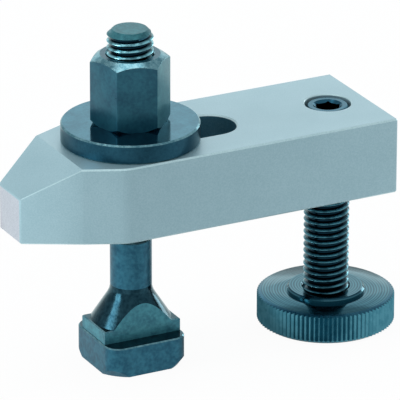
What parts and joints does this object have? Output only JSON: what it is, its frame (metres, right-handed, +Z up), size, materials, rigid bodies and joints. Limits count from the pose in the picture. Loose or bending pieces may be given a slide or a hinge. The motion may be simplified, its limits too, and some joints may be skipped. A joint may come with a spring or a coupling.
{
  "type": "strap clamp",
  "caption": "Tapered strap clamp for a 14 mm T-slot: slotted steel bar on a T-slot bolt with nut and washer, and a support screw on a knurled foot.",
  "frame": {"origin": "centre of the square underside of the bolt head, on the table that the clamp stands on", "axes": "+X along the bar from the bolt to the heel, +Z up along the bolt, +Y across the bar"},
  "size_m": [0.1072, 0.036, 0.089],
  "materials": {
    "bar_steel": "pale satin plating on milled steel",
    "black_steel": "blackened steel, thin oil film"
  },
  "bodies": {
    "clamp_bar": {"clamp_bar": "bar_steel"},
    "washer": {"washer": "black_steel"},
    "hex_nut": {"hex_nut": "black_steel"},
    "t_slot_bolt": {"t_slot_bolt": "black_steel"},
    "knurled_foot": {"knurled_foot": "black_steel"},
    "support_screw": {"support_screw": "black_steel"}
  },
  "joints": [
    {"name": "slot_slide", "type": "slide", "parent": "clamp_bar", "child": "washer", "axis": [1, 0, 0], "range_m": [-0.0065, 0.0225]},
    {"name": "nut_turn", "type": "hinge", "parent": "washer", "child": "hex_nut", "pos_m": [0, 0, 0.0645], "axis": [0, 0, 1], "range_deg": [-3961, 1261]},
    {"name": "bolt_draw", "type": "slide", "parent": "washer", "child": "t_slot_bolt", "axis": [0, 0, 1], "range_m": [-0.00613, 0.01925]},
    {"name": "foot_height", "type": "slide", "parent": "clamp_bar", "child": "knurled_foot", "axis": [0, 0, 1], "range_m": [-0.00875, 0.02975]},
    {"name": "screw_turn", "type": "hinge", "parent": "knurled_foot", "child": "support_screw", "pos_m": [0.056, 0, 0], "axis": [0, 0, 1], "range_deg": [-1801, 6121]}
  ],
  "couplings": [
    {"joint": "nut_turn", "follows": "bolt_draw", "rad_per_m": -3590.4},
    {"joint": "screw_turn", "follows": "foot_height", "rad_per_m": 3590.4}
  ]
}
